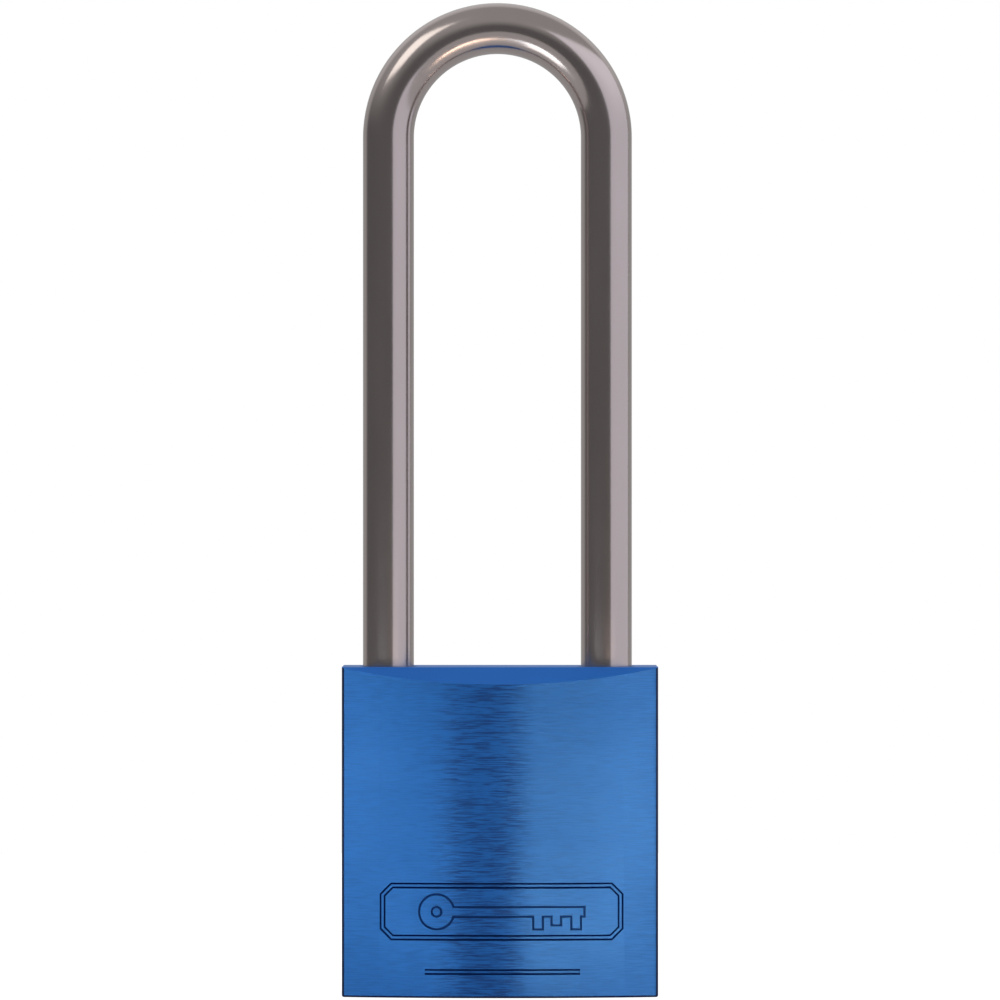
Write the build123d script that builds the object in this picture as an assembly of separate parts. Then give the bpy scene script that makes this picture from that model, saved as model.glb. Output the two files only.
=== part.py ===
"""Keyed safety padlock with a long shackle.

The padlock stands upright. Millimetres, +Z up, front towards -Y. The origin is
the centre of the body's underside, on the axis of the cylinder plug. The heel
leg of the shackle, which stays in the body, is on the -X side. The toe leg,
which comes free, is on the +X side.

Everything is drawn closed but unlocked: the shackle is home, the plug is turned
a quarter turn to the open side, and both bolts are drawn in.
"""
from build123d import *
import math
import os

# ---- Body ----
BODY_WIDTH = 40.0
BODY_HEIGHT = 41.7
BODY_THICKNESS = 19.0
FACE_SAGITTA = 2.4  # how far the crowned front and back stand out past the side edges
UPRIGHT_EDGE_BREAK = 0.3
FOOT_EDGE_BREAK = 0.25
BEVEL_DROP = 2.15  # height of the flat bevel at the middle of each crowned face
BEVEL_START = 7.0  # distance from the centre plane at which the bevel leaves the top

# ---- Shackle ----
SHACKLE_DIAMETER = 6.5
LEG_SPACING = 27.72
SHACKLE_OFFSET = -0.33  # the shackle sits a little towards its heel side
ARCH_CENTRE_Z = 109.0
SHACKLE_CLEARANCE = 0.2  # all round each leg in its hole
TOE_END_Z = 30.5
HEEL_END_Z = 5.0
LEG_END_CHAMFER = 0.6
HOLE_MOUTH_CHAMFER = 0.3
HOLE_END_GAP = 0.5  # left under each leg when the shackle is home
LIFT_TRAVEL = 12.5
FOOT_TOP_Z = 8.0  # the full-size foot below the neck of the heel leg
NECK_DIAMETER = 4.5
NECK_TOP_Z = 22.9
STOP_PIN_DIAMETER = 2.0
STOP_PIN_FRONT_Y = -4.4
STOP_PIN_BACK_Y = 7.4

# ---- Bolts, in one cross bore ----
BOLT_DIAMETER = 5.0
BOLT_BORE_DIAMETER = 5.2
BOLT_AXIS_Z = 35.5
BOLT_THROW = 2.2
BOLT_TIP_GAP = 0.34  # from the leg to the tip of a bolt that is drawn in
BOLT_SHOULDER_X = 3.6  # where the round nose turns into a half-round tongue
TONGUE_END_X = 3.2
TONGUE_GAP = 0.16  # between the two tongues
PEG_GROOVE_WIDTH = 1.6
NOTCH_DEPTH = 2.1
NOTCH_SIDE_GAP = 0.1
BOLT_BORE_PLUG_LENGTH = 3.0

# ---- Cylinder plug ----
PLUG_DIAMETER = 11.0
PLUG_BORE_DIAMETER = 11.2
PLUG_HEAD_DIAMETER = 12.5
PLUG_HEAD_BORE_DIAMETER = 12.7
PLUG_RECESS = 0.3
PLUG_HEAD_HEIGHT = 1.6
PLUG_TOP_Z = 30.5
END_GAP = 0.1  # along Z, between pieces that turn against the body or each other
RETAINING_GROOVE_DEPTH = 0.9
RETAINING_GROOVE_WIDTH = 1.5
KEYWAY_WIDTH = 2.0
KEYWAY_BOTTOM_Y = -4.5
KEYWAY_TOP_Y = 3.4
KEYWAY_END_Z = 25.2
WARD_DEPTH = 0.65
WARD_HEIGHT = 0.9
RIGHT_WARD_RISE = 1.7  # from the keyway's bottom to the ward on its right side
LEFT_WARD_RISE = 4.0  # and to the one on its left side

# ---- Cam that carries the plug's turn to the bolts ----
CAM_DIAMETER = 9.0
CAM_BORE_DIAMETER = 9.2
CAM_TOP_Z = 32.4
CAM_BORE_TOP_Z = 32.6
TANG_HEIGHT = 1.5
TANG_WIDTH = 2.3
TANG_SLOT_WIDTH = 2.4
PEG_DIAMETER = 1.3
PEG_TOP_Z = 35.2

# ---- Pin chambers, one above the other in the body and in the plug ----
CHAMBER_DIAMETER = 2.5
PIN_DIAMETER = 2.4
FIRST_CHAMBER_Z = 5.6
CHAMBER_PITCH = 3.5
KEY_PIN_LENGTHS = [4.0, 5.2, 3.6, 4.8, 3.2, 4.4]
KEY_PIN_OUTER_END = 5.3  # distance from the plug's axis at the shear line
KEY_PIN_TIP_LENGTH = 0.7
KEY_PIN_TIP_RADIUS = 0.45
CHAMBER_FLOOR = -1.65  # how far the plug's chambers reach past its axis
DRIVER_INNER_END = 5.6
DRIVER_LENGTH = 4.0
PIN_CHAMFER = 0.2
CHAMBER_PLUG_LENGTH = 4.0
FIXED_FIT_GAP = 0.02  # drawn all round the pieces that are pressed into the body
RETAINING_TIP_DIAMETER = 1.4
RETAINING_TIP_X = 4.7
RETAINING_SHANK_X = 5.7

# ---- Springs behind the driver pins ----
SPRING_DIAMETER = 2.2
SPRING_WIRE = 0.3
SPRING_TURNS = 8
SPRING_END_GAP = 0.02

# ---- Engraving on the front ----
ENGRAVING_DEPTH = 0.25
WIDE_LINE = 0.72  # the groove round the field, and the ruled line
FINE_LINE = 0.28  # the outline of the key
FIELD_CENTRE = (0.2, 10.9)  # X and Z
FIELD_SIZE = (30.8, 7.3)
FIELD_CORNER = 1.2
KEY_BOW_RADIUS = 2.35
KEY_BOW_CENTRE_X = -8.2
KEY_EYE_RADIUS = 0.75
KEY_SHANK_END_X = 10.6
KEY_SHANK_HEIGHT = 1.5
KEY_BITS = [(9.4, 1.6), (6.9, 1.1), (4.6, 1.6)]  # X and depth of each bit
KEY_BIT_WIDTH = 1.5
RULE_CENTRE = (0.3, 3.3)
RULE_LENGTH = 19.6

OVERCUT = 1.0  # how far a cutter reaches past the surface that it cuts

# ---- Worked out from the sizes above ----
SIDE_X = BODY_WIDTH / 2
FACE_Y = BODY_THICKNESS / 2
CORNER_Y = FACE_Y - FACE_SAGITTA
FACE_RADIUS = (SIDE_X**2 + FACE_SAGITTA**2) / (2 * FACE_SAGITTA)
LEG_RADIUS = SHACKLE_DIAMETER / 2
HOLE_RADIUS = LEG_RADIUS + SHACKLE_CLEARANCE
HEEL_X = SHACKLE_OFFSET - LEG_SPACING / 2
TOE_X = SHACKLE_OFFSET + LEG_SPACING / 2
STOP_PIN_X = HEEL_X - NECK_DIAMETER / 2 - STOP_PIN_DIAMETER / 2 - END_GAP
STOP_PIN_Z = FOOT_TOP_Z + LIFT_TRAVEL + STOP_PIN_DIAMETER / 2 + END_GAP
PEG_CIRCLE_RADIUS = BOLT_THROW / math.sqrt(2)
PEG_OFFSET = PEG_CIRCLE_RADIUS * math.sin(math.radians(45))
CHAMBER_COUNT = len(KEY_PIN_LENGTHS)
CHAMBER_HEIGHTS = [FIRST_CHAMBER_Z + CHAMBER_PITCH * i for i in range(CHAMBER_COUNT)]
RETAINING_Z = FIRST_CHAMBER_Z + CHAMBER_PITCH * CHAMBER_COUNT
DRIVER_OUTER_END = DRIVER_INNER_END + DRIVER_LENGTH
CHAMBER_PLUG_X = SIDE_X - CHAMBER_PLUG_LENGTH
BOTTOM = (Align.CENTER, Align.CENTER, Align.MIN)


def upright(diameter, low_z, high_z, x=0.0, y=0.0):
    """A round bar along Z, from low_z to high_z."""
    return Pos(x, y, low_z) * Cylinder(diameter / 2, high_z - low_z, align=BOTTOM)


def crossways(diameter, low_x, high_x, z):
    """A round bar along X, in the centre plane of the body."""
    return Pos(low_x, 0, z) * Rot(0, 90, 0) * Cylinder(diameter / 2, high_x - low_x, align=BOTTOM)


def block(low, high):
    """A box between two opposite corners."""
    size = [b - a for a, b in zip(low, high)]
    middle = [(a + b) / 2 for a, b in zip(low, high)]
    return Pos(*middle) * Box(*size)


# ---- Lock body ----


def blank():
    """The body before drilling: two crowned faces, flat sides and broken edges."""
    outline = (
        ThreePointArc((-SIDE_X, -CORNER_Y), (0, -FACE_Y), (SIDE_X, -CORNER_Y))
        + Line((SIDE_X, -CORNER_Y), (SIDE_X, CORNER_Y))
        + ThreePointArc((SIDE_X, CORNER_Y), (0, FACE_Y), (-SIDE_X, CORNER_Y))
        + Line((-SIDE_X, CORNER_Y), (-SIDE_X, -CORNER_Y))
    )
    solid = extrude(make_face(outline), BODY_HEIGHT)
    solid = chamfer(solid.edges().filter_by(Axis.Z), UPRIGHT_EDGE_BREAK)
    return chamfer(solid.edges().group_by(Axis.Z)[0], FOOT_EDGE_BREAK)


def bevel_wedge():
    """What the flat bevel takes off the top of the front face."""
    slope = BEVEL_DROP / (FACE_Y - BEVEL_START)
    reach = 2 * FACE_SAGITTA
    section = Polyline(
        (0, -BEVEL_START, BODY_HEIGHT),
        (0, -BEVEL_START - reach, BODY_HEIGHT - slope * reach),
        (0, -BEVEL_START - reach, BODY_HEIGHT + reach),
        (0, -BEVEL_START, BODY_HEIGHT + reach),
        close=True,
    )
    return extrude(Face(Wire(section.edges())), BODY_WIDTH, dir=(1, 0, 0), both=True)


def shackle_hole(x, floor_z):
    mouth = Pos(x, 0, BODY_HEIGHT - HOLE_MOUTH_CHAMFER) * Cone(
        HOLE_RADIUS, HOLE_RADIUS + HOLE_MOUTH_CHAMFER, HOLE_MOUTH_CHAMFER, align=BOTTOM
    )
    return upright(2 * HOLE_RADIUS, floor_z, BODY_HEIGHT, x) + mouth


def outline_groove(sketch, width):
    """A line of constant width just inside the edge of a flat shape."""
    return sketch - offset(sketch, amount=-width)


def key_sign():
    """A plain key lying on its side, bow to the left."""
    shank_length = KEY_SHANK_END_X - KEY_BOW_CENTRE_X
    shape = Pos(KEY_BOW_CENTRE_X, 0) * Circle(KEY_BOW_RADIUS)
    shape += Pos(KEY_BOW_CENTRE_X + shank_length / 2, 0) * Rectangle(shank_length, KEY_SHANK_HEIGHT)
    for x, depth in KEY_BITS:
        bit = Rectangle(KEY_BIT_WIDTH, depth, align=(Align.CENTER, Align.MAX))
        shape += Pos(x, -KEY_SHANK_HEIGHT / 2) * bit
    eye = Pos(KEY_BOW_CENTRE_X, 0) * Circle(KEY_EYE_RADIUS)
    return outline_groove(shape, FINE_LINE) + outline_groove(eye, FINE_LINE)


def engraving():
    """The cutter for a marking field with a key in it, and a ruled line below."""
    width, height = FIELD_SIZE
    corners = Rectangle(width, height)
    field = outline_groove(chamfer(corners.vertices(), FIELD_CORNER), WIDE_LINE)
    sketch = Pos(*FIELD_CENTRE) * (field + key_sign())
    sketch += Pos(*RULE_CENTRE) * Rectangle(RULE_LENGTH, WIDE_LINE)
    front = Plane(origin=(0, -FACE_Y - OVERCUT, 0), x_dir=(1, 0, 0), z_dir=(0, -1, 0))
    cutter = extrude(front * sketch, OVERCUT + 2 * FACE_SAGITTA, dir=(0, 1, 0))
    floor = Pos(0, FACE_RADIUS - FACE_Y, 0) * Cylinder(
        FACE_RADIUS - ENGRAVING_DEPTH, BODY_HEIGHT, align=BOTTOM
    )
    return cutter - floor


def lock_body():
    solid = blank()
    solid -= bevel_wedge()
    solid -= mirror(bevel_wedge(), about=Plane.XZ)
    solid -= shackle_hole(HEEL_X, HEEL_END_Z - HOLE_END_GAP)
    solid -= shackle_hole(TOE_X, TOE_END_Z - HOLE_END_GAP)
    solid -= upright(PLUG_HEAD_BORE_DIAMETER, 0, PLUG_RECESS + PLUG_HEAD_HEIGHT + END_GAP)
    solid -= upright(PLUG_BORE_DIAMETER, 0, PLUG_TOP_Z + END_GAP)
    solid -= upright(CAM_BORE_DIAMETER, PLUG_TOP_Z, CAM_BORE_TOP_Z)
    solid -= upright(BOLT_BORE_DIAMETER, CAM_TOP_Z, BOLT_AXIS_Z)
    solid -= crossways(BOLT_BORE_DIAMETER, HEEL_X, SIDE_X, BOLT_AXIS_Z)
    for z in CHAMBER_HEIGHTS + [RETAINING_Z]:
        solid -= crossways(CHAMBER_DIAMETER, 0, SIDE_X, z)
    solid -= stop_pin_shape(STOP_PIN_DIAMETER, STOP_PIN_FRONT_Y - END_GAP, FACE_Y)
    return solid - engraving()


# ---- Shackle and its stop pin ----


def shackle():
    arch_top = (SHACKLE_OFFSET, 0, ARCH_CENTRE_Z + LEG_SPACING / 2)
    path = Wire(
        [
            Edge.make_line((HEEL_X, 0, HEEL_END_Z), (HEEL_X, 0, ARCH_CENTRE_Z)),
            Edge.make_three_point_arc((HEEL_X, 0, ARCH_CENTRE_Z), arch_top, (TOE_X, 0, ARCH_CENTRE_Z)),
            Edge.make_line((TOE_X, 0, ARCH_CENTRE_Z), (TOE_X, 0, TOE_END_Z)),
        ]
    )
    solid = sweep(Plane(origin=(HEEL_X, 0, HEEL_END_Z)) * Circle(LEG_RADIUS), path=path)
    for end_z in (HEEL_END_Z, TOE_END_Z):
        rim = solid.edges().filter_by_position(Axis.Z, end_z - END_GAP, end_z + END_GAP)
        solid = chamfer(rim, LEG_END_CHAMFER)
    ring = upright(SHACKLE_DIAMETER + OVERCUT, FOOT_TOP_Z, NECK_TOP_Z, HEEL_X)
    solid -= ring - upright(NECK_DIAMETER, FOOT_TOP_Z, NECK_TOP_Z, HEEL_X)
    for x, inward in ((HEEL_X, 1), (TOE_X, -1)):
        solid -= notch(x, inward)
    return solid


def notch(leg_x, inward):
    """The flat-bottomed cut that a bolt enters, on the inner side of a leg."""
    half_height = BOLT_DIAMETER / 2 + NOTCH_SIDE_GAP
    floor_x = leg_x + inward * (LEG_RADIUS - NOTCH_DEPTH)
    edge_x = leg_x + inward * (LEG_RADIUS + OVERCUT)
    low = (min(floor_x, edge_x), -LEG_RADIUS, BOLT_AXIS_Z - half_height)
    high = (max(floor_x, edge_x), LEG_RADIUS, BOLT_AXIS_Z + half_height)
    return block(low, high)


def stop_pin_shape(diameter, front_y, back_y):
    bar = Cylinder(diameter / 2, back_y - front_y, align=BOTTOM)
    return Pos(STOP_PIN_X, back_y, STOP_PIN_Z) * Rot(90, 0, 0) * bar


def shackle_retaining_pin():
    return stop_pin_shape(STOP_PIN_DIAMETER - 2 * FIXED_FIT_GAP, STOP_PIN_FRONT_Y, STOP_PIN_BACK_Y)


# ---- Bolts ----


def bolt(tip_x, towards_toe):
    """A round nose with a half-round tongue that one peg of the cam moves."""
    side = 1 if towards_toe else -1
    tongue_end = -side * TONGUE_END_X
    solid = crossways(BOLT_DIAMETER, min(tip_x, tongue_end), max(tip_x, tongue_end), BOLT_AXIS_Z)
    tip = solid.edges().filter_by_position(Axis.X, tip_x - END_GAP, tip_x + END_GAP)
    solid = chamfer(tip, PIN_CHAMFER)
    shoulder = side * BOLT_SHOULDER_X
    # The toe bolt's tongue keeps its back half, and the heel bolt's its front half.
    low = (min(shoulder, tongue_end), -BOLT_DIAMETER, BOLT_AXIS_Z - BOLT_DIAMETER)
    high = (max(shoulder, tongue_end), TONGUE_GAP / 2, BOLT_AXIS_Z + BOLT_DIAMETER)
    cut = block(low, high)
    solid -= cut if towards_toe else mirror(cut, about=Plane.XZ)
    groove_x = -side * PEG_OFFSET
    half_groove = PEG_GROOVE_WIDTH / 2
    return solid - block(
        (groove_x - half_groove, -BOLT_DIAMETER, BOLT_AXIS_Z - BOLT_DIAMETER),
        (groove_x + half_groove, BOLT_DIAMETER, BOLT_AXIS_Z),
    )


def heel_bolt():
    return bolt(HEEL_X + LEG_RADIUS + BOLT_TIP_GAP, towards_toe=False)


def toe_bolt():
    return bolt(TOE_X - LEG_RADIUS - BOLT_TIP_GAP, towards_toe=True)


def bolt_bore_plug():
    diameter = BOLT_BORE_DIAMETER - 2 * FIXED_FIT_GAP
    return crossways(diameter, SIDE_X - BOLT_BORE_PLUG_LENGTH, SIDE_X, BOLT_AXIS_Z)


# ---- Cylinder plug and cam ----


def keyway():
    """The warded slot for the key. The pins point along +Y."""
    half = KEYWAY_WIDTH / 2
    right_ward = KEYWAY_BOTTOM_Y + RIGHT_WARD_RISE
    left_ward = KEYWAY_BOTTOM_Y + LEFT_WARD_RISE
    section = Polyline(
        (-half, KEYWAY_BOTTOM_Y),
        (half, KEYWAY_BOTTOM_Y),
        (half, right_ward),
        (half - WARD_DEPTH, right_ward),
        (half - WARD_DEPTH, right_ward + WARD_HEIGHT),
        (half, right_ward + WARD_HEIGHT),
        (half, KEYWAY_TOP_Y),
        (-half, KEYWAY_TOP_Y),
        (-half, left_ward + WARD_HEIGHT),
        (-half + WARD_DEPTH, left_ward + WARD_HEIGHT),
        (-half + WARD_DEPTH, left_ward),
        (-half, left_ward),
        close=True,
    )
    return extrude(make_face(section.edges()), KEYWAY_END_Z)


def cylinder_plug():
    solid = upright(PLUG_DIAMETER, PLUG_RECESS, PLUG_TOP_Z)
    solid += upright(PLUG_HEAD_DIAMETER, PLUG_RECESS, PLUG_RECESS + PLUG_HEAD_HEIGHT)
    rim = solid.edges().group_by(Axis.Z)[0]
    solid = chamfer(rim, PIN_CHAMFER)
    solid -= keyway()
    for z in CHAMBER_HEIGHTS:
        depth = PLUG_DIAMETER / 2 - CHAMBER_FLOOR
        chamber = Cylinder(CHAMBER_DIAMETER / 2, depth, align=BOTTOM)
        solid -= Pos(0, PLUG_DIAMETER / 2, z) * Rot(90, 0, 0) * chamber
    low, high = RETAINING_Z - RETAINING_GROOVE_WIDTH / 2, RETAINING_Z + RETAINING_GROOVE_WIDTH / 2
    ring = upright(PLUG_DIAMETER + OVERCUT, low, high)
    solid -= ring - upright(PLUG_DIAMETER - 2 * RETAINING_GROOVE_DEPTH, low, high)
    slot_floor = PLUG_TOP_Z - TANG_HEIGHT
    return solid - block(
        (-PLUG_DIAMETER, -TANG_SLOT_WIDTH / 2, slot_floor),
        (PLUG_DIAMETER, TANG_SLOT_WIDTH / 2, PLUG_TOP_Z + OVERCUT),
    )


def cam():
    tang_foot = PLUG_TOP_Z - TANG_HEIGHT + END_GAP
    tang = block(
        (-CAM_DIAMETER / 2, -TANG_WIDTH / 2, tang_foot),
        (CAM_DIAMETER / 2, TANG_WIDTH / 2, PLUG_TOP_Z + END_GAP),
    )
    solid = upright(CAM_DIAMETER, PLUG_TOP_Z + END_GAP, CAM_TOP_Z)
    solid += tang & upright(CAM_DIAMETER, tang_foot, PLUG_TOP_Z + END_GAP)
    for side in (-1, 1):
        solid += upright(PEG_DIAMETER, CAM_TOP_Z, PEG_TOP_Z, -side * PEG_OFFSET, side * PEG_OFFSET)
    return solid


def plug_retaining_pin():
    tip = crossways(RETAINING_TIP_DIAMETER, RETAINING_TIP_X, RETAINING_SHANK_X, RETAINING_Z)
    shank_diameter = CHAMBER_DIAMETER - 2 * FIXED_FIT_GAP
    return tip + crossways(shank_diameter, RETAINING_SHANK_X, CHAMBER_PLUG_X, RETAINING_Z)


# ---- Pins, springs and chamber plugs ----


def key_pin(length):
    """Stands on its outer end and points along +Z."""
    shank = Cylinder(PIN_DIAMETER / 2, length - KEY_PIN_TIP_LENGTH, align=BOTTOM)
    shank = chamfer(shank.edges().group_by(Axis.Z)[0], PIN_CHAMFER)
    tip = Cone(PIN_DIAMETER / 2, KEY_PIN_TIP_RADIUS, KEY_PIN_TIP_LENGTH, align=BOTTOM)
    return shank + Pos(0, 0, length - KEY_PIN_TIP_LENGTH) * tip


def driver_pin():
    pin = Cylinder(PIN_DIAMETER / 2, DRIVER_LENGTH, align=BOTTOM)
    return chamfer(pin.edges().filter_by(GeomType.CIRCLE), PIN_CHAMFER)


def driver_spring():
    """An open coil that fills the space between a driver pin and its chamber plug."""
    space = CHAMBER_PLUG_X - DRIVER_OUTER_END - 2 * SPRING_END_GAP
    coil_height = space - SPRING_WIRE
    path = Helix(coil_height / SPRING_TURNS, coil_height, (SPRING_DIAMETER - SPRING_WIRE) / 2)
    section = Plane(origin=path @ 0, z_dir=path % 0) * Circle(SPRING_WIRE / 2)
    return Pos(0, 0, SPRING_END_GAP + SPRING_WIRE / 2) * sweep(section, path=path, is_frenet=True)


def chamber_plug():
    return Cylinder(CHAMBER_DIAMETER / 2 - FIXED_FIT_GAP, CHAMBER_PLUG_LENGTH, align=BOTTOM)


# ---- Output ----

pieces = {
    "lock_body": lock_body(),
    "shackle": shackle(),
    "shackle_retaining_pin": shackle_retaining_pin(),
    "heel_bolt": heel_bolt(),
    "toe_bolt": toe_bolt(),
    "bolt_bore_plug": bolt_bore_plug(),
    "cylinder_plug": cylinder_plug(),
    "cam": cam(),
    "plug_retaining_pin": plug_retaining_pin(),
}
for number, (z, length) in enumerate(zip(CHAMBER_HEIGHTS, KEY_PIN_LENGTHS), start=1):
    pieces[f"key_pin_{number}"] = Pos(0, KEY_PIN_OUTER_END, z) * Rot(90, 0, 0) * key_pin(length)
    pieces[f"driver_pin_{number}"] = Pos(DRIVER_INNER_END, 0, z) * Rot(0, 90, 0) * driver_pin()
    pieces[f"driver_spring_{number}"] = Pos(DRIVER_OUTER_END, 0, z) * Rot(0, 90, 0) * driver_spring()
for number, z in enumerate(CHAMBER_HEIGHTS + [RETAINING_Z], start=1):
    pieces[f"chamber_plug_{number}"] = Pos(CHAMBER_PLUG_X, 0, z) * Rot(0, 90, 0) * chamber_plug()

os.makedirs("parts", exist_ok=True)
for name, piece in pieces.items():
    export_step(piece, f"parts/{name}.step")
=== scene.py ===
"""The looks of the long-shackle padlock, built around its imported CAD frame.

Shapes are made in millimetres and scaled to metres at the end, because Blender's
booleans are happier with numbers of that size. Sizes of shapes are therefore in
millimetres; those of materials, lamps and the camera are in metres. Up is +Z and
the front is -Y.
"""

import math

import bmesh
import bpy
from mathutils import Matrix, Vector


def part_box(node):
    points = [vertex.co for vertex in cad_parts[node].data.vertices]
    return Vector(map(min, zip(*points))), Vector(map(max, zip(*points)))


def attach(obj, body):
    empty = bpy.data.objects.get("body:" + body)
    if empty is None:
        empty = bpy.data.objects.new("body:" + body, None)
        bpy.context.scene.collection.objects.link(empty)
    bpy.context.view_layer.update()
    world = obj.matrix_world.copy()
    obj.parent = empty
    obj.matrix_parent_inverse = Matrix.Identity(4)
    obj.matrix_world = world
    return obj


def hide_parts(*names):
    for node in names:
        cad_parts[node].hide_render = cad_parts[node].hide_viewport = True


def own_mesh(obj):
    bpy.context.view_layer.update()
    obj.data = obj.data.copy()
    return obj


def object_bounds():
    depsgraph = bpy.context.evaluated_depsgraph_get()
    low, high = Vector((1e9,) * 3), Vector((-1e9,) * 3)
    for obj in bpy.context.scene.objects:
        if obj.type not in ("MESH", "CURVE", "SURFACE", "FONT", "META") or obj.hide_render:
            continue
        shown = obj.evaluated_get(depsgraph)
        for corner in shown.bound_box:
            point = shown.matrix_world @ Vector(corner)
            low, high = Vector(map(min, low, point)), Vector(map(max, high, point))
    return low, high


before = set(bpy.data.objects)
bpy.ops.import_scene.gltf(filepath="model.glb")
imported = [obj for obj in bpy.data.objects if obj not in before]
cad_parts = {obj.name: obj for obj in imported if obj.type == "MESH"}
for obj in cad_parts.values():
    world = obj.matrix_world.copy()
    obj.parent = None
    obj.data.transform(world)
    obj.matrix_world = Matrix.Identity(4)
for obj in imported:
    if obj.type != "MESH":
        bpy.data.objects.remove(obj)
cad_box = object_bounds()

MM = 0.001


def box_mm(node):
    """A CAD node's lowest and highest corners, in millimetres."""
    low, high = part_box(node)
    return Vector(low) / MM, Vector(high) / MM


# ---- Sizes that the frame gives ----
_, BODY_HIGH = box_mm("lock_body")
SHACKLE_LOW, SHACKLE_HIGH = box_mm("shackle")
PLUG_LOW, PLUG_HIGH = box_mm("cylinder_plug")
_, CAM_HIGH = box_mm("cam")
STOP_PIN_LOW, STOP_PIN_HIGH = box_mm("shackle_retaining_pin")
BOLT_PLUG_LOW, BOLT_PLUG_HIGH = box_mm("bolt_bore_plug")

SIDE_X = BODY_HIGH.x
FACE_Y = BODY_HIGH.y
BODY_TOP = BODY_HIGH.z
LEG_RADIUS = SHACKLE_HIGH.y
HEEL_X = SHACKLE_LOW.x + LEG_RADIUS
TOE_X = SHACKLE_HIGH.x - LEG_RADIUS
ARCH_RADIUS = (TOE_X - HEEL_X) / 2
ARCH_CENTRE = Vector(((HEEL_X + TOE_X) / 2, 0, SHACKLE_HIGH.z - LEG_RADIUS - ARCH_RADIUS))
BOLT_AXIS_Z = (BOLT_PLUG_LOW.z + BOLT_PLUG_HIGH.z) / 2
DRIVER_COUNT = 6
CHAMBER_COUNT = 7

# ---- Sizes of the body ----
FACE_SAGITTA = 2.4
FACE_RADIUS = (SIDE_X**2 + FACE_SAGITTA**2) / (2 * FACE_SAGITTA)
UPRIGHT_EDGE_BREAK = 0.3
BREAK_LOST_PER_INSET = 0.8  # the upright edges get sharper where the plan is drawn in
FOOT_EDGE_BREAK = 0.25
BEVEL_START = 7.0
BEVEL_DROP = 2.15
BEVEL_SLOPE = BEVEL_DROP / (FACE_Y - BEVEL_START)
CROWN_STEPS = 160
CORNER_STEPS = 5
FOOT_STEPS = 4
SMOOTH_BODY = 25  # degrees; sharper edges stay hard
HOLE_RADIUS = LEG_RADIUS + 0.2
HOLE_MOUTH = 0.3
TOE_HOLE_FLOOR = 30.0
HEEL_HOLE_FLOOR = 4.5

# ---- Sizes of the body's inner bores ----
CHAMBER_RADIUS = 1.25
CHAMBER_START_X = 1.0  # inside the plug's bore
PLUG_BORE_RADIUS = 5.6
PLUG_HEAD_HEIGHT = 1.6
CAM_PEG_HEIGHT = 2.6
STOP_PIN_BORE = 1.0
RUN_GAP = 0.1  # round the pieces that turn
BOLT_FIT = 0.02  # round the bolts
OVERCUT = 1.0  # how far a cutter reaches out of the body
HOLE_SEGMENTS = 96
BOLT_BORE_SEGMENTS = 72
CHAMBER_SEGMENTS = 48
STOP_PIN_SEGMENTS = 40

# ---- Sizes of the shackle ----
HEEL_END_Z = SHACKLE_LOW.z
TOE_END_Z = 30.5
END_CHAMFER = 0.6
FOOT_TOP_Z = 8.0
NECK_RADIUS = 2.25
NECK_TOP_Z = 22.9
NOTCH_DEPTH = 2.1
NOTCH_HALF_HEIGHT = 2.6
SHACKLE_SEGMENTS = 80
ARCH_STEPS = 96
SMOOTH_SHACKLE = 30

# ---- Sizes of the driver springs ----
WIRE_RADIUS = 0.15
WIRE_SEGMENTS = 10
COIL_RADIUS = 0.95
COIL_TURNS = 9
COIL_STEPS = 28  # in one turn
CLOSED_PITCH = 2.1 * WIRE_RADIUS
CLOSED_TURNS = 0.6  # at each end
OPENING_TURNS = 0.5  # from a closed end to the full pitch
SEAT_GAP = 0.02
SMOOTH_WIRE = 40

# ---- Engraving ----
ENGRAVING_DEPTH = 0.25
CUTTER_PROUD = 0.2  # how far the grooves' cutter stands out of the face
GROOVE_STEP = 0.4  # longest straight piece of a groove
WIDE_LINE = (0.74, 0.28)  # width at the face and at the floor
FINE_LINE = (0.28, 0.16)
FIELD_CENTRE = Vector((0.2, 10.9))
FIELD_SIZE = Vector((30.8, 7.3))
FIELD_CORNER = 1.2
KEY_MARGIN = Vector((2, 0.9))  # from the field's edge to where only the key's lines are
BOW_CENTRE_X = -8.2
BOW_RADIUS = 2.35
BOW_STEPS = 40
EYE_RADIUS = 0.75
EYE_POINTS = 24
SHANK_END_X = 10.6
SHANK_HALF = 0.75
BITS = ((4.6, 1.6), (6.9, 1.1), (9.4, 1.6))  # place along the shank, and depth
BIT_HALF = 0.75
RULE_CENTRE = Vector((0.3, 3.3))
RULE_LENGTH = 19.6

# ---- Tolerances that tell the body's faces apart ----
ON_BEVEL_EDGE = 1e-4
ON_FACE = 0.005
NEAR = 0.01
SLANTED = 0.1  # this and the next two are parts of a face's normal
STEEP = 0.5
SQUARE_ON = 0.9


# ---- Mesh helpers ----


def link(name, data):
    """A new object in the scene."""
    obj = bpy.data.objects.new(name, data)
    bpy.context.scene.collection.objects.link(obj)
    return obj


def link_mesh(name, bm):
    """Turns a bmesh into an object with the same units."""
    mesh = bpy.data.meshes.new(name)
    bm.to_mesh(mesh)
    bm.free()
    return link(name, mesh)


def new_solid(name, bm):
    """The same for a closed solid, with its faces turned outwards."""
    bmesh.ops.recalc_face_normals(bm, faces=bm.faces)
    return link_mesh(name, bm)


def shade(obj, angle):
    """Smooth shading, with hard edges where the faces meet at more than the angle."""
    obj.data.shade_smooth()
    obj.data.set_sharp_from_angle(angle=math.radians(angle))


def to_metres(obj):
    obj.data.transform(Matrix.Scale(MM, 4))


def bridge(bm, ring_a, ring_b):
    """Quads between two rings of vertices."""
    count = len(ring_a)
    for i in range(count):
        j = (i + 1) % count
        bm.faces.new((ring_a[i], ring_a[j], ring_b[j], ring_b[i]))


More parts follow.
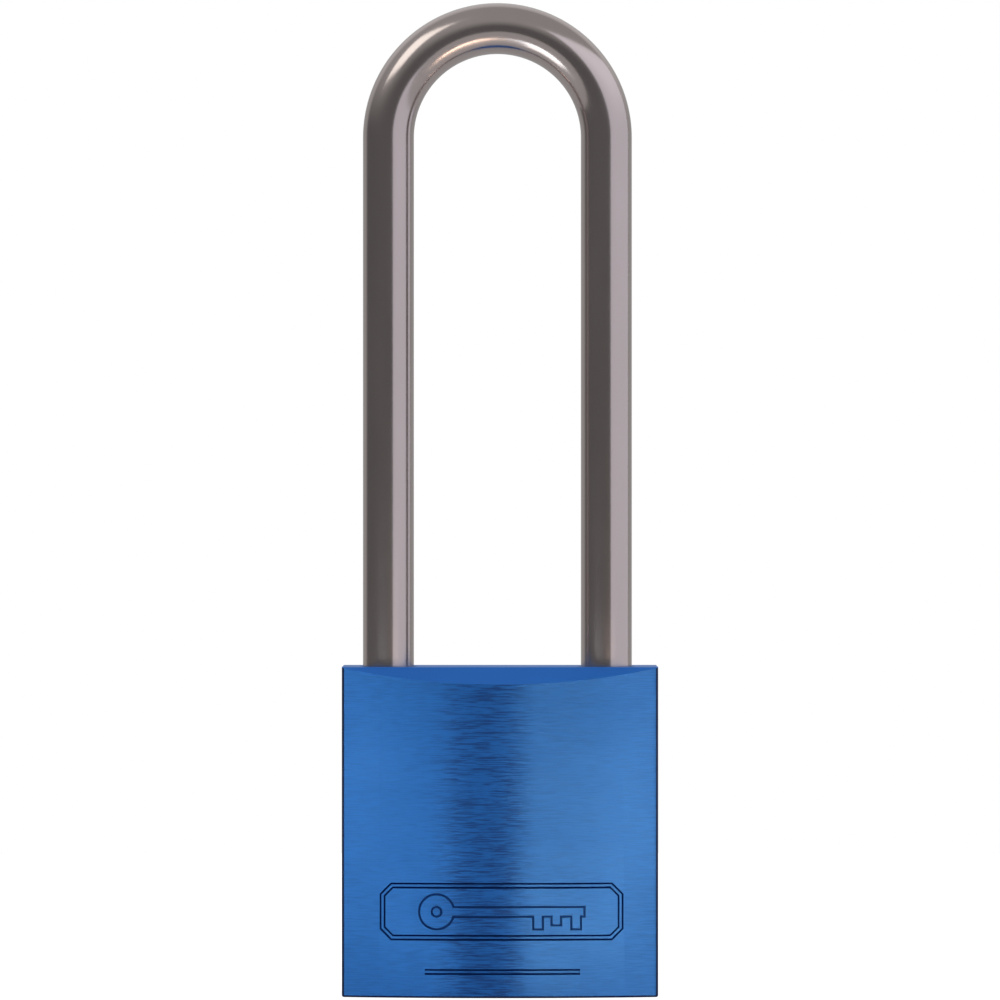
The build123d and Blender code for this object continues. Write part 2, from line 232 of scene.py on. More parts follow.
def tube(bm, rings):
    """Walls from ring to ring, and a face at each end."""
    for a, b in zip(rings, rings[1:]):
        bridge(bm, a, b)
    bm.faces.new(rings[0])
    bm.faces.new(rings[-1])


def circle(count):
    """Cosine and sine of evenly spaced turns."""
    turns = [2 * math.pi * i / count for i in range(count)]
    return [(math.cos(turn), math.sin(turn)) for turn in turns]


def lathe(profile, segments, place=Matrix.Identity(4)):
    """A closed turned solid about Z. The profile is (radius, height) from one end to the other."""
    bm = bmesh.new()
    rings = []
    for radius, height in profile:
        points = [Vector((radius * c, radius * s, height)) for c, s in circle(segments)]
        rings.append([bm.verts.new(place @ point) for point in points])
    tube(bm, rings)
    return bm


def boolean(obj, cutter):
    """Takes the cutter away from the object for good."""
    modifier = obj.modifiers.new("cut", "BOOLEAN")
    modifier.operation = "DIFFERENCE"
    modifier.solver = "EXACT"
    modifier.object = cutter
    depsgraph = bpy.context.evaluated_depsgraph_get()
    mesh = bpy.data.meshes.new_from_object(obj.evaluated_get(depsgraph))
    obj.modifiers.remove(modifier)
    old = obj.data
    obj.data = mesh
    mesh.name = old.name
    bpy.data.meshes.remove(old)
    bpy.data.objects.remove(cutter)


def cut(obj, bm):
    """The same with a bmesh as the cutter."""
    boolean(obj, new_solid("cutter", bm))


ALONG_X = Matrix.Rotation(math.radians(90), 4, "Y")
ALONG_Y = Matrix.Rotation(math.radians(-90), 4, "X")


# ---- Lock body ----


def crown_y(x):
    """Distance of the crowned face from the centre plane."""
    return FACE_Y - FACE_RADIUS + math.sqrt(FACE_RADIUS**2 - x * x)


def corner_shares():
    """Where the points of a rounded upright corner lie, with one just where the bevel leaves the top."""
    edge_y = crown_y(SIDE_X - UPRIGHT_EDGE_BREAK)
    corner_y = crown_y(SIDE_X)
    a = edge_y - corner_y - UPRIGHT_EDGE_BREAK
    b = 2 * (corner_y - edge_y)
    c = edge_y - BEVEL_START
    bevel_share = (-b - math.sqrt(b * b - 4 * a * c)) / (2 * a)
    even_shares = [i / CORNER_STEPS for i in range(CORNER_STEPS + 1)]
    return sorted(even_shares + [bevel_share])


def body_plan(inset=0.0):
    """The body's plan, anticlockwise from the front left corner, and drawn in by an inset."""
    side_x = SIDE_X - inset
    edge_break = UPRIGHT_EDGE_BREAK - BREAK_LOST_PER_INSET * inset
    edge_x = side_x - edge_break
    front = []
    for i in range(CROWN_STEPS + 1):
        x = edge_x * (2 * i / CROWN_STEPS - 1)
        front.append(Vector((x, inset - crown_y(x))))
    corner = Vector((side_x, inset - crown_y(SIDE_X)))
    after = corner + Vector((0, edge_break))
    right = []
    for t in corner_shares():
        right.append(front[-1] * (1 - t) ** 2 + corner * 2 * t * (1 - t) + after * t * t)
    left = [Vector((-p.x, p.y)) for p in reversed(right)]
    half = left[:-1] + front + right[1:] + [Vector((side_x, 0))]
    return half + [-p for p in half]


def top_z(point):
    """Height of the wall's upper edge: it dips under the flat bevel on the crowned faces."""
    return BODY_TOP - BEVEL_SLOPE * max(0.0, abs(point.y) - BEVEL_START)


def body_blank():
    """The body without its bores and engraving."""
    bm = bmesh.new()
    rings = []
    for step in range(FOOT_STEPS + 1):
        turn = math.radians(90) * step / FOOT_STEPS
        z = FOOT_EDGE_BREAK * (1 - math.cos(turn))
        plan = body_plan(FOOT_EDGE_BREAK * (1 - math.sin(turn)))
        rings.append([bm.verts.new((p.x, p.y, z)) for p in plan])
    rings.append([bm.verts.new((p.x, p.y, top_z(p))) for p in body_plan()])
    for lower, upper in zip(rings, rings[1:]):
        bridge(bm, lower, upper)
    bm.faces.new(rings[0])
    top = rings[-1]
    bm.faces.new([v for v in top if abs(v.co.y) <= BEVEL_START + ON_BEVEL_EDGE])
    for side in (-1, 1):
        bm.faces.new([v for v in top if side * v.co.y >= BEVEL_START - ON_BEVEL_EDGE])
    return new_solid("padlock_body", bm)


def drill(obj):
    """Every bore of the body."""
    for x, floor in ((HEEL_X, HEEL_HOLE_FLOOR), (TOE_X, TOE_HOLE_FLOOR)):
        profile = [
            (HOLE_RADIUS, floor),
            (HOLE_RADIUS, BODY_TOP - HOLE_MOUTH),
            (HOLE_RADIUS + 2 * HOLE_MOUTH, BODY_TOP + HOLE_MOUTH),
        ]
        cut(obj, lathe(profile, HOLE_SEGMENTS, Matrix.Translation((x, 0, 0))))
    head_radius = PLUG_HIGH.x + RUN_GAP
    head_top = PLUG_LOW.z + PLUG_HEAD_HEIGHT + RUN_GAP
    cam_radius = CAM_HIGH.x + RUN_GAP
    cam_top = CAM_HIGH.z - CAM_PEG_HEIGHT
    bolt_radius = BOLT_PLUG_HIGH.y + BOLT_FIT
    profile = [
        (head_radius, -OVERCUT),
        (head_radius, head_top),
        (PLUG_BORE_RADIUS, head_top),
        (PLUG_BORE_RADIUS, PLUG_HIGH.z + RUN_GAP),
        (cam_radius, PLUG_HIGH.z + RUN_GAP),
        (cam_radius, cam_top),
        (bolt_radius, cam_top),
        (bolt_radius, BOLT_AXIS_Z),
    ]
    cut(obj, lathe(profile, HOLE_SEGMENTS))
    place = Matrix.Translation((0, 0, BOLT_AXIS_Z)) @ ALONG_X
    profile = [(bolt_radius, HEEL_X), (bolt_radius, SIDE_X + OVERCUT)]
    cut(obj, lathe(profile, BOLT_BORE_SEGMENTS, place))
    for number in range(1, CHAMBER_COUNT + 1):
        low, high = box_mm(f"chamber_plug_{number}")
        place = Matrix.Translation((0, 0, (low.z + high.z) / 2)) @ ALONG_X
        profile = [(CHAMBER_RADIUS, CHAMBER_START_X), (CHAMBER_RADIUS, SIDE_X + OVERCUT)]
        cut(obj, lathe(profile, CHAMBER_SEGMENTS, place))
    middle = (STOP_PIN_LOW + STOP_PIN_HIGH) / 2
    place = Matrix.Translation((middle.x, 0, middle.z)) @ ALONG_Y
    profile = [(STOP_PIN_BORE, STOP_PIN_LOW.y - RUN_GAP), (STOP_PIN_BORE, FACE_Y)]
    cut(obj, lathe(profile, STOP_PIN_SEGMENTS, place))


# ---- Engraving ----


def subdivided(points, closed):
    """The same path with more points on its long runs, so that it can follow the crown."""
    path = []
    ends = points[1:] + points[:1] if closed else points[1:]
    for a, b in zip(points, ends):
        pieces = max(1, math.ceil((b - a).length / GROOVE_STEP))
        path += [a.lerp(b, i / pieces) for i in range(pieces)]
    return path if closed else path + [points[-1]]


def groove(bm, points, widths, closed=True):
    """Adds the cutter of a groove with sloping walls that runs along a path in X and Z."""
    path = subdivided(points, closed)
    count = len(path)
    at_face, at_floor = widths
    half_floor = at_floor / 2
    half_proud = at_face / 2 + (at_face - at_floor) / 2 / ENGRAVING_DEPTH * CUTTER_PROUD
    stations = []
    for i, point in enumerate(path):
        before = path[i - 1] if closed or i else 2 * point - path[1]
        after = path[(i + 1) % count] if closed or i < count - 1 else 2 * point - path[-2]
        run_in = (point - before).normalized()
        run_out = (after - point).normalized()
        side_in = Vector((-run_in.y, run_in.x))
        side_out = Vector((-run_out.y, run_out.x))
        mitre = (side_in + side_out) / (1 + side_in.dot(side_out))
        station = []
        for half, depth in (
            (half_proud, -CUTTER_PROUD),
            (-half_proud, -CUTTER_PROUD),
            (-half_floor, ENGRAVING_DEPTH),
            (half_floor, ENGRAVING_DEPTH),
        ):
            at = point + mitre * half
            station.append(bm.verts.new((at.x, depth - crown_y(at.x), at.y)))
        stations.append(station)
    if closed:
        for a, b in zip(stations, stations[1:] + stations[:1]):
            bridge(bm, a, b)
    else:
        tube(bm, stations)


def arc(centre, radius, start, end, steps):
    """Points on an arc; angles in degrees."""
    points = []
    for i in range(steps + 1):
        turn = math.radians(start + (end - start) * i / steps)
        points.append(centre + radius * Vector((math.cos(turn), math.sin(turn))))
    return points


def field_path():
    """The field's border, a rectangle with clipped corners."""
    half = (FIELD_SIZE - Vector((WIDE_LINE[0], WIDE_LINE[0]))) / 2
    clip = FIELD_CORNER
    corners = []
    for sx, sy in ((1, 1), (-1, 1), (-1, -1), (1, -1)):
        on_side = Vector((sx * half.x, sy * (half.y - clip)))
        on_edge = Vector((sx * (half.x - clip), sy * half.y))
        corners += [on_side, on_edge] if sx * sy > 0 else [on_edge, on_side]
    return [FIELD_CENTRE + p for p in corners]


def key_path():
    """A plain key on its side, bow to the left."""
    line = FINE_LINE[0] / 2
    radius = BOW_RADIUS - line
    half = SHANK_HALF - line
    start = math.degrees(math.asin(half / radius))
    reach = BIT_HALF - line
    path = arc(Vector((BOW_CENTRE_X, 0)), radius, start, 360 - start, BOW_STEPS)
    for x, depth in BITS:
        before, after, low = x - reach, x + reach, -half - depth
        bit = ((before, -half), (before, low), (after, low), (after, -half))
        path += [Vector(p) for p in bit]
    path += [Vector((SHANK_END_X - line, -half)), Vector((SHANK_END_X - line, half))]
    return [FIELD_CENTRE + p for p in path]


def engrave(obj):
    """Cuts the field, the key with its eye, and the ruled line."""
    bm = bmesh.new()
    groove(bm, field_path(), WIDE_LINE)
    groove(bm, key_path(), FINE_LINE)
    eye = FIELD_CENTRE + Vector((BOW_CENTRE_X, 0))
    steps = EYE_POINTS - 1
    groove(bm, arc(eye, EYE_RADIUS - FINE_LINE[0] / 2, 0, 360 * steps / EYE_POINTS, steps), FINE_LINE)
    reach = Vector((RULE_LENGTH / 2, 0))
    groove(bm, [RULE_CENTRE - reach, RULE_CENTRE + reach], WIDE_LINE, closed=False)
    cut(obj, bm)


BRUSHED, SATIN, ENGRAVED, BORED, PAINTED_EDGE_SHADE = range(5)  # the finishes, by material slot; the edge slot is a painted shade, a dark outline on the edge breaks


def finish_of(centre, normal):
    """Which finish a face of the body has. Centre in millimetres."""
    depth = crown_y(min(abs(centre.x), SIDE_X)) - abs(centre.y)
    at_foot = centre.z < FOOT_EDGE_BREAK
    at_corner = abs(centre.x) > SIDE_X - UPRIGHT_EDGE_BREAK and depth < UPRIGHT_EDGE_BREAK
    if at_foot and depth < FOOT_EDGE_BREAK and abs(normal.z) > SLANTED:
        return PAINTED_EDGE_SHADE if abs(normal.z) < SQUARE_ON else SATIN
    if abs(centre.x) > SIDE_X - NEAR:
        return BRUSHED
    if at_corner and abs(normal.z) < SLANTED:
        return PAINTED_EDGE_SHADE
    if at_foot and normal.z < -SLANTED:
        return SATIN
    engraved = ON_FACE < depth < ENGRAVING_DEPTH + NEAR
    if engraved and centre.y < 0 and centre.z < BODY_TOP / 2:
        inner = FIELD_SIZE / 2 - KEY_MARGIN
        in_key = abs(centre.x) < inner.x and abs(centre.z - FIELD_CENTRE.y) < inner.y
        on_floor = depth > ENGRAVING_DEPTH - NEAR
        return BRUSHED if on_floor and not in_key else ENGRAVED
    if depth < ON_FACE and abs(normal.y) > SQUARE_ON:
        return BRUSHED
    if normal.z > STEEP and centre.z > top_z(centre.xy) - NEAR:
        return SATIN
    return BORED


def make_body(materials):
    """The lock body. The materials are in the order of the finishes."""
    obj = body_blank()
    engrave(obj)
    drill(obj)
    for material in materials:
        obj.data.materials.append(material)
    for face in obj.data.polygons:
        face.material_index = finish_of(face.center, face.normal)
    shade(obj, SMOOTH_BODY)
    to_metres(obj)
    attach(obj, "body")
    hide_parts("lock_body")


# ---- Shackle ----


def shackle_rings():
    """(centre, outward direction in the shackle's plane, radius) from the heel end to the toe end."""
    out = Vector((-1, 0, 0))
    profile = [
        (HEEL_END_Z, LEG_RADIUS - END_CHAMFER),
        (HEEL_END_Z + END_CHAMFER, LEG_RADIUS),
        (FOOT_TOP_Z, LEG_RADIUS),
        (FOOT_TOP_Z, NECK_RADIUS),
        (NECK_TOP_Z, NECK_RADIUS),
        (NECK_TOP_Z, LEG_RADIUS),
    ]
    rings = [(Vector((HEEL_X, 0, z)), out, radius) for z, radius in profile]
    for i in range(ARCH_STEPS + 1):
        turn = math.pi * (1 - i / ARCH_STEPS)
        away = Vector((math.cos(turn), 0, math.sin(turn)))
        rings.append((ARCH_CENTRE + ARCH_RADIUS * away, away, LEG_RADIUS))
    toe = [(TOE_END_Z + END_CHAMFER, LEG_RADIUS), (TOE_END_Z, LEG_RADIUS - END_CHAMFER)]
    rings += [(Vector((TOE_X, 0, z)), -out, radius) for z, radius in toe]
    return rings


def make_shackle(material):
    """The shackle, with a notch for a bolt in each leg."""
    bm = bmesh.new()
    across = Vector((0, 1, 0))
    rings = []
    for centre, away, radius in shackle_rings():
        spokes = [away * c + across * s for c, s in circle(SHACKLE_SEGMENTS)]
        rings.append([bm.verts.new(centre + radius * spoke) for spoke in spokes])
    tube(bm, rings)
    obj = new_solid("padlock_shackle", bm)
    for leg_x, inward in ((HEEL_X, 1), (TOE_X, -1)):
        notch = bmesh.new()
        bmesh.ops.create_cube(notch, size=1)
        size = Vector((2 * NOTCH_DEPTH, 3 * LEG_RADIUS, 2 * NOTCH_HALF_HEIGHT))
        middle = Matrix.Translation((leg_x + inward * LEG_RADIUS, 0, BOLT_AXIS_Z))
        place = middle @ Matrix.Diagonal(size).to_4x4()
        bmesh.ops.transform(notch, matrix=place, verts=notch.verts)
        cut(obj, notch)
    obj.data.materials.append(material)
    shade(obj, SMOOTH_SHACKLE)
    to_metres(obj)
    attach(obj, "shackle")
    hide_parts("shackle")


# ---- Driver springs ----


def spring_path(length):
    """A coil along X that is closed at each end."""
    count = COIL_TURNS * COIL_STEPS
    shares = []  # how far the coil is open at each step
    for i in range(count):
        turn = (i + 0.5) / COIL_STEPS
        from_end = min(turn, COIL_TURNS - turn)
        shares.append(min(1.0, max(0.0, from_end - CLOSED_TURNS) / OPENING_TURNS))
    closed_length = CLOSED_PITCH * sum(1 - share for share in shares) / COIL_STEPS
    open_step = (length - closed_length) / sum(shares)
    points = []
    x = 0.0
    for i in range(count + 1):
        turn = 2 * math.pi * i / COIL_STEPS
        points.append(Vector((x, COIL_RADIUS * math.cos(turn), COIL_RADIUS * math.sin(turn))))
        if i < count:
            x += open_step * shares[i] + CLOSED_PITCH * (1 - shares[i]) / COIL_STEPS
    return points


def make_spring(number, material):
    """The spring between a driver pin and its chamber plug."""
    pin_low, pin_high = box_mm(f"driver_pin_{number}")
    plug_low, _ = box_mm(f"chamber_plug_{number}")
    start = pin_high.x + WIRE_RADIUS + SEAT_GAP
    path = spring_path(plug_low.x - WIRE_RADIUS - SEAT_GAP - start)
    middle = Vector((start, 0, (pin_low.z + pin_high.z) / 2))
    bm = bmesh.new()
    rings = []
    for i, point in enumerate(path):
        along = (path[min(i + 1, len(path) - 1)] - path[max(i - 1, 0)]).normalized()
        away = Vector((0, point.y, point.z)).normalized()
        across = along.cross(away).normalized()
        spokes = [away * c + across * s for c, s in circle(WIRE_SEGMENTS)]
        rings.append([bm.verts.new(middle + point + WIRE_RADIUS * spoke) for spoke in spokes])
    tube(bm, rings)
    obj = new_solid(f"coil_spring_{number}", bm)
    shade(obj, SMOOTH_WIRE)
    to_metres(obj)
    obj.data.materials.append(material)
    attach(obj, "body")
    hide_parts(f"driver_spring_{number}")
    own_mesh(obj)


# ---- Materials ----


# Each pair of tones is a darker and a lighter one.
BRUSHED_TONES = (0.0045, 0.075, 0.34, 1), (0.0065, 0.096, 0.42, 1)
# The colour of the dark marks of a painted reflection on the front.
PAINTED_REFLECTION_TONE = (0.0004, 0.01, 0.14, 1)
SATIN_TONES = (0.011, 0.13, 0.58, 1), (0.015, 0.155, 0.66, 1)
ENGRAVED_TONES = (0.004, 0.02, 0.09, 1), (0.008, 0.04, 0.16, 1)
# Almost black on the edge breaks: a painted shade that draws a dark outline.
PAINTED_EDGE_SHADE_TONES = (0.002, 0.01, 0.045, 1), (0.003, 0.018, 0.08, 1)
BORED_TONES = (0.008, 0.05, 0.2, 1), (0.015, 0.08, 0.28, 1)
SHACKLE_TONES = (0.46, 0.405, 0.39, 1), (0.52, 0.46, 0.45, 1)
BRASS_TONES = (0.62, 0.42, 0.16, 1), (0.76, 0.56, 0.27, 1)
BOLT_TONES = (0.36, 0.36, 0.37, 1), (0.48, 0.48, 0.49, 1)
PIN_TONES = (0.45, 0.45, 0.46, 1), (0.58, 0.58, 0.59, 1)
WIRE_TONES = (0.5, 0.5, 0.51, 1), (0.66, 0.66, 0.67, 1)

ANODISED = {
    "Metallic": 0.35,
    "IOR": 1.8,
    "Specular_IOR_Level": 1.0,
    "Specular_Tint": (0.25, 0.66, 1, 1),
}
PAINTED_REFLECTION_X = -0.0023  # middle of the painted reflection, a band of dark marks on the front
PAINTED_REFLECTION_HALF = 0.0068
PAINTED_REFLECTION_FADE = 0.0036
PAINTED_REFLECTION_FRONT = (-0.001, 0.001)  # across the centre plane the painted reflection fades out
OFF_PAINTED_REFLECTION = 0.06  # what is left of the painted dark marks elsewhere
PAINTED_REFLECTION_MARKS = (0.4, 0.53)  # noise values from a full painted dark mark to none
PAINTED_REFLECTION_STRENGTH = 0.8
SCRATCH_SPREAD = (0.34, 0.62)
NOISE_SPREAD = (0.3, 0.7)  # nearly all values of a noise lie between these
BRUSH_TURN = 0.02  # how far a brush mark leans the surface to the side, as a slope
MICRON = 0.000001


def set_range(node, low, high, to_low, to_high):
    """The four ends of a Map Range node."""
    ends = (("From Min", low), ("From Max", high), ("To Min", to_low), ("To Max", to_high))
    for key, number in ends:
        node.inputs[key].default_value = number


class Nodes:
    """A small wrapper that adds nodes and joins them to a material's Principled shader."""

    def __init__(self, name):
        self.material = bpy.data.materials.new(name)
        self.material.use_nodes = True
        self.tree = self.material.node_tree
        self.shader = self.tree.nodes["Principled BSDF"]

    def add(self, kind, settings=None, **inputs):
        node = self.tree.nodes.new(kind)
        for key, value in (settings or {}).items():
            setattr(node, key, value)
        for key, value in inputs.items():
            self.feed(node, key.replace("_", " "), value)
        return node

    def feed(self, node, socket, value):
        """Links or sets an input, which is given by name or by number."""
        if isinstance(socket, str):
            target = next(s for s in node.inputs if s.name == socket and s.enabled)
        else:
            target = node.inputs[socket]
        if isinstance(value, bpy.types.NodeSocket):
            self.tree.links.new(value, target)
        else:
            target.default_value = value

    def shade(self, **inputs):
        for key, value in inputs.items():
            self.feed(self.shader, key.replace("_", " "), value)

    def coordinates(self, scale):
        """Object coordinates in metres, stretched by a factor for each axis."""
        position = self.add("ShaderNodeTexCoord").outputs["Object"]
        return self.add("ShaderNodeMapping", Vector=position, Scale=scale).outputs["Vector"]

    def noise(self, scale, detail=2):
        """Noise whose features are about 1 / scale metres long on each axis."""
        place = self.coordinates(scale)
        node = self.add("ShaderNodeTexNoise", Vector=place, Scale=1.0, Detail=detail)
        return node.outputs["Fac"]

    def remap(self, value, low, high, to_low, to_high):
        """A straight-line change of range, held at both ends."""
        node = self.add("ShaderNodeMapRange", Value=value)
        set_range(node, low, high, to_low, to_high)
        return node.outputs["Result"]

    def blend(self, factor, a, b):
        """Mixes two colours."""
        node = self.add("ShaderNodeMix", {"data_type": "RGBA"})
        for socket, value in ((0, factor), (6, a), (7, b)):
            self.feed(node, socket, value)
        return node.outputs[2]

    def math(self, operation, a, b):
        node = self.add("ShaderNodeMath", {"operation": operation})
        self.feed(node, 0, a)
        self.feed(node, 1, b)
        return node.outputs[0]

    def vector_math(self, operation, *values):
        node = self.add("ShaderNodeVectorMath", {"operation": operation})
        for socket, value in enumerate(values):
            self.feed(node, socket, value)
        return node.outputs[0]

    def bump(self, height, strength, distance):
        node = self.add("ShaderNodeBump", Height=height, Strength=strength, Distance=distance)
        return node.outputs["Normal"]


def brushed_blue():
    """Anodised aluminium, brushed along the horizontal.

    Every brush mark leans the surface a little to one side, which makes a
    reflection's edge break up into short dashes. In an upright band on the
    front, dark marks are also painted into the colour: a painted reflection
    of the dark gap between the lamps.
    """
    n = Nodes("brushed_blue")
    dash = n.noise((420, 420, 6800))
    scratch = n.noise((480, 480, 9000))
    patch = n.noise((90, 90, 160))
    light = n.blend(n.remap(scratch, *SCRATCH_SPREAD, 0, 1), *BRUSHED_TONES)
    place = n.add("ShaderNodeSeparateXYZ", Vector=n.coordinates((1, 1, 1))).outputs
    # A painted reflection: dark marks in an upright band on the front, fading out elsewhere.
    from_painted_reflection = n.math("ABSOLUTE", n.math("SUBTRACT", place["X"], PAINTED_REFLECTION_X), 0.0)
    across = n.remap(from_painted_reflection, PAINTED_REFLECTION_HALF - PAINTED_REFLECTION_FADE, PAINTED_REFLECTION_HALF, 1, OFF_PAINTED_REFLECTION)
    in_front = n.remap(place["Y"], *PAINTED_REFLECTION_FRONT, 1, OFF_PAINTED_REFLECTION)
    painted_reflection = n.math("MULTIPLY", across, in_front)
    painted_reflection_marks = n.math("MULTIPLY", n.remap(scratch, *PAINTED_REFLECTION_MARKS, PAINTED_REFLECTION_STRENGTH, 0), painted_reflection)
    tone = n.blend(painted_reflection_marks, light, PAINTED_REFLECTION_TONE)
    rough = n.remap(patch, *NOISE_SPREAD, 0.28, 0.32)
    lines = n.bump(scratch, 0.4, 30 * MICRON)
    turn = n.remap(dash, *NOISE_SPREAD, -BRUSH_TURN, BRUSH_TURN)
    aside = n.add("ShaderNodeCombineXYZ", X=turn).outputs[0]
    normal = n.vector_math("NORMALIZE", n.vector_math("ADD", lines, aside))
    tangent = n.add("ShaderNodeTangent", {"direction_type": "RADIAL", "axis": "Z"}).outputs[0]
    n.shade(Base_Color=tone, Roughness=rough, Normal=normal, Tangent=tangent, **ANODISED)
    n.shade(Anisotropic=1.0, Anisotropic_Rotation=0.25)
    return n.material


def satin_blue():
    """The same anodised aluminium where it is cut flat and not brushed."""
    n = Nodes("satin_blue")
    grain = n.noise((5200, 5200, 5200))
    patch = n.noise((140, 140, 140))
    rough = n.remap(patch, *NOISE_SPREAD, 0.3, 0.38)
    n.shade(Base_Color=n.blend(patch, *SATIN_TONES), Roughness=rough, **ANODISED)
    n.shade(Normal=n.bump(grain, 0.15, 20 * MICRON))
    return n.material


def dark_blue(name, scale, tones, metallic, roughness, strength, distance):
    """One of the darker blues, with grain in its colour and its surface."""
    n = Nodes(name)
    grain = n.noise(scale)
    n.shade(Base_Color=n.blend(grain, *tones), Metallic=metallic, Roughness=roughness)
    n.shade(Normal=n.bump(grain, strength, distance))
    return n.material


def shackle_steel():
    """Polished hardened steel, faintly brown."""
    n = Nodes("shackle_steel")
    cloud = n.noise((120, 120, 60), detail=3)
    grain = n.noise((3500, 3500, 1600))
    rough = n.remap(cloud, *NOISE_SPREAD, 0.15, 0.2)
    n.shade(Base_Color=n.blend(cloud, *SHACKLE_TONES), Metallic=1.0, Roughness=rough)
    n.shade(Normal=n.bump(grain, 0.1, 10 * MICRON))
    return n.material


def turned_metal(name, tones, roughness, scale=(900, 900, 900)):
    """A machined metal with fine tool marks. The roughness is its lowest and highest."""
    n = Nodes(name)
    marks = n.noise(scale, detail=3)
    n.shade(Base_Color=n.blend(marks, *tones), Metallic=1.0)
    n.shade(Roughness=n.remap(marks, *NOISE_SPREAD, *roughness))
    n.shade(Normal=n.bump(marks, 0.2, 20 * MICRON))
    return n.material


def dress(node, material):
    """Gives a CAD node a material in all its slots."""
    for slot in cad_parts[node].material_slots:
        slot.material = material


# ---- The padlock ----

blue = brushed_blue()
satin = satin_blue()
engraved = dark_blue("engraved_blue", (4000, 4000, 4000), ENGRAVED_TONES, 1.0, 0.42, 0.3, 30 * MICRON)
bored = dark_blue("bored_blue", (300, 300, 9000), BORED_TONES, 1.0, 0.4, 0.2, 30 * MICRON)
# The edge breaks get a painted shade, almost black, as a dark outline.
edge_shade_paint = dark_blue("edge_blue_painted_shade", (2500, 2500, 900), PAINTED_EDGE_SHADE_TONES, 0.6, 0.45, 0.2, 20 * MICRON)
brass = turned_metal("turned_brass", BRASS_TONES, (0.25, 0.37))
bolt_steel = turned_metal("ground_steel", BOLT_TONES, (0.28, 0.4), (400, 400, 4000))
pin_steel = turned_metal("pin_steel", PIN_TONES, (0.23, 0.35))
wire_steel = turned_metal("spring_wire", WIRE_TONES, (0.17, 0.29), (2000, 2000, 2000))

make_body([blue, satin, engraved, bored, edge_shade_paint])
make_shackle(shackle_steel())
for number in range(1, DRIVER_COUNT + 1):
    make_spring(number, wire_steel)
    dress(f"key_pin_{number}", brass)
    dress(f"driver_pin_{number}", brass)
for number in range(1, CHAMBER_COUNT + 1):
    dress(f"chamber_plug_{number}", blue)
dress("bolt_bore_plug", blue)
dress("cylinder_plug", brass)
dress("shackle_retaining_pin", pin_steel)
dress("plug_retaining_pin", pin_steel)
for name in ("cam", "heel_bolt", "toe_bolt"):
    dress(name, bolt_steel)


# ---- Floor, light and camera ----

CENTRE = Vector((0, 0, (cad_box[0][2] + cad_box[1][2]) / 2))
FLOOR_RADIUS = 0.4
FLOOR_SEGMENTS = 128
FLOOR_TONE = (0.6, 0.6, 0.6, 1)
FLOOR_GLOW = 0.1  # towards the padlock
FLOOR_SEEN_GLOW = 0.85  # towards the camera
FLOOR_DROP = 0.00005
FLOOR_OPENING_INSET = 0.3  # in millimetres, like the body's plan
STRIP_Y = -0.11
STRIP_HEIGHT = 0.025
STRIP_LIFT = 0.002
STRIP_TILT = 55  # degrees, face down, so that the arch doesn't mirror them
FACE_UP = (math.radians(180), 0, 0)  # a lamp shines along its own -Z
# Strengths of the world add up: an axis, where it starts and ends, and its strength there.
WORLD_RAMPS = (("Y", 0.3, 0.55, 0.15, 0.45), ("Z", 0.08, 0.6, 0.0, 0.3))
SENSOR_WIDTH = 36  # millimetres, like the next
FOCAL_LENGTH = 282.8
CLIP_END = 100
CAMERA_PLACE = (0, -1.0, 0.06284)


def make_floor():
    """A pale table top, round and not large, so that the legs don't mirror it.

    It can be seen through from underneath, and is open under the padlock's foot,
    so that the underside has light.
    """
    bm = bmesh.new()
    bmesh.ops.create_circle(bm, segments=FLOOR_SEGMENTS, radius=FLOOR_RADIUS / MM)
    opening = [bm.verts.new((p.x, p.y, 0)) for p in body_plan(FLOOR_OPENING_INSET)]
    for a, b in zip(opening, opening[1:] + opening[:1]):
        bm.edges.new((a, b))
    bmesh.ops.triangle_fill(bm, use_beauty=True, edges=bm.edges)
    for face in bm.faces:
        face.normal_update()
        if face.normal.z < 0:
            face.normal_flip()
    floor = link_mesh("floor", bm)
    to_metres(floor)
    floor.location.z = -FLOOR_DROP
    n = Nodes("pale_floor")
    seen = n.add("ShaderNodeLightPath").outputs["Is Camera Ray"]
    glow = n.remap(seen, 0, 1, FLOOR_GLOW, FLOOR_SEEN_GLOW)
    n.shade(Base_Color=FLOOR_TONE, Roughness=1.0, Specular_IOR_Level=0.0)
    n.shade(Emission_Color=(1, 1, 1, 1), Emission_Strength=glow)
    below = n.add("ShaderNodeNewGeometry").outputs["Backfacing"]
    clear = n.add("ShaderNodeBsdfTransparent").outputs[0]
    sides = n.add("ShaderNodeMixShader")
    for socket, value in enumerate((below, n.shader.outputs[0], clear)):
        n.feed(sides, socket, value)
    n.feed(n.tree.nodes["Material Output"], "Surface", sides.outputs[0])
    floor.data.materials.append(n.material)


def area_lamp(name, size, radiance, place, rotation, colour=(1, 1, 1)):
    """A rectangular lamp that the camera doesn't see."""
    lamp = bpy.data.lights.new(name, "AREA")
    lamp.shape = "RECTANGLE"
    lamp.size, lamp.size_y = size
    lamp.energy = radiance * math.pi * size[0] * size[1]
    lamp.color = colour
    obj = link(name, lamp)
    obj.location = place
    obj.rotation_euler = rotation
    obj.visible_camera = False


def softbox(name, azimuth, elevation, distance, size, radiance, colour):
    """A lamp that faces the padlock. Azimuth is from the camera, positive to the right."""
    turn, rise = math.radians(azimuth), math.radians(elevation)
    level = math.cos(rise)
    away = Vector((math.sin(turn) * level, -math.cos(turn) * level, math.sin(rise)))
    rotation = away.to_track_quat("Z", "Y").to_euler()
    area_lamp(name, size, radiance, CENTRE + distance * away, rotation, colour)


def strip(name, low_x, high_x, radiance, colour):
    """A low lamp that stands on the table in front of the padlock, and lights its face."""
    place = ((low_x + high_x) / 2, STRIP_Y, STRIP_HEIGHT / 2 + STRIP_LIFT)
    rotation = (math.radians(90 - STRIP_TILT), 0, 0)
    area_lamp(name, (high_x - low_x, STRIP_HEIGHT), radiance, place, rotation, colour)


